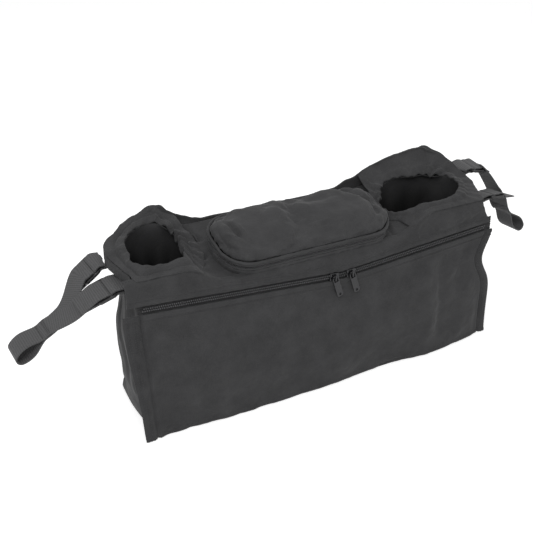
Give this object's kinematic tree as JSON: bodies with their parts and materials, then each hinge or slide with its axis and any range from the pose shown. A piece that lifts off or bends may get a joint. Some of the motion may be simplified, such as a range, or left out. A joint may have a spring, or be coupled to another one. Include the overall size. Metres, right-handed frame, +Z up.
{
  "type": "stroller organizer",
  "caption": "Long soft organizer bag for a stroller handle, with open cup pockets, a padded zip lid, a front zip pocket and buckled webbing straps.",
  "frame": {"origin": "middle of the flat base, on the surface that the bag stands on", "axes": "+X along the bag, -Y out of the zip pocket's front, +Z up"},
  "size_m": [0.5871, 0.1076, 0.2074],
  "materials": {
    "cloth": "matte woven",
    "board": "matte woven",
    "lining": "satin",
    "tape": "matte",
    "coil": "satin",
    "webbing": "matte ribbed",
    "plastic": "satin",
    "metal": "satin"
  },
  "bodies": {
    "bag": {"back_panel": "cloth", "front_wall": "cloth", "front_yoke": "cloth", "left_end_panel": "cloth", "right_end_panel": "cloth", "bottom_panel": "board", "left_divider": "cloth", "right_divider": "cloth", "top_panel": "cloth", "left_cup_liner": "lining", "right_cup_liner": "lining", "left_cup_collar": "cloth", "right_cup_collar": "cloth", "lid_band": "cloth", "lid_zip_outer_tape": "tape", "lid_zip_inner_tape": "tape", "lid_zip_coil": "coil", "lid_hinge": "cloth", "lid_piping": "cloth", "lid_pad": "cloth", "front_pocket_panel": "cloth", "front_zip_upper_tape": "tape", "front_zip_lower_tape": "tape", "front_zip_coil": "coil", "left_back_tab": "webbing", "left_back_buckle": "plastic", "left_front_tab": "webbing", "left_front_buckle": "plastic", "left_strap": "webbing", "right_back_tab": "webbing", "right_back_buckle": "plastic", "right_front_tab": "webbing", "right_front_buckle": "plastic", "right_strap": "webbing"},
    "left_slider": {"front_slider_left": "metal"},
    "left_pull": {"front_pull_left": "metal"},
    "right_slider": {"front_slider_right": "metal"},
    "right_pull": {"front_pull_right": "metal"},
    "lid_slider": {"lid_slider": "metal"},
    "lid_pull": {"lid_pull": "metal"}
  },
  "joints": [
    {"name": "left_slider_run", "type": "slide", "parent": "bag", "child": "left_slider", "axis": [-0.997, 0.0028, 0.0775], "range_m": [0, 0.186]},
    {"name": "left_pull_swing", "type": "hinge", "parent": "left_slider", "child": "left_pull", "pos_m": [-0.00401, -0.05205, 0.12553], "axis": [-0.9511, 0, -0.309], "range_deg": [0, 150]},
    {"name": "right_slider_run", "type": "slide", "parent": "bag", "child": "right_slider", "axis": [0.9974, 0.0026, 0.0715], "range_m": [0, 0.1618]},
    {"name": "right_pull_swing", "type": "hinge", "parent": "right_slider", "child": "right_pull", "pos_m": [0.01601, -0.05205, 0.12549], "axis": [-0.9511, 0, -0.309], "range_deg": [0, 150]},
    {"name": "lid_slider_run", "type": "slide", "parent": "bag", "child": "lid_slider", "axis": [-1, 0, 0], "range_m": [0, 0.055]},
    {"name": "lid_pull_swing", "type": "hinge", "parent": "lid_slider", "child": "lid_pull", "pos_m": [-0.024, 0.02811, 0.17904], "axis": [0, -0.2873, 0.9578], "range_deg": [0, 75]}
  ]
}
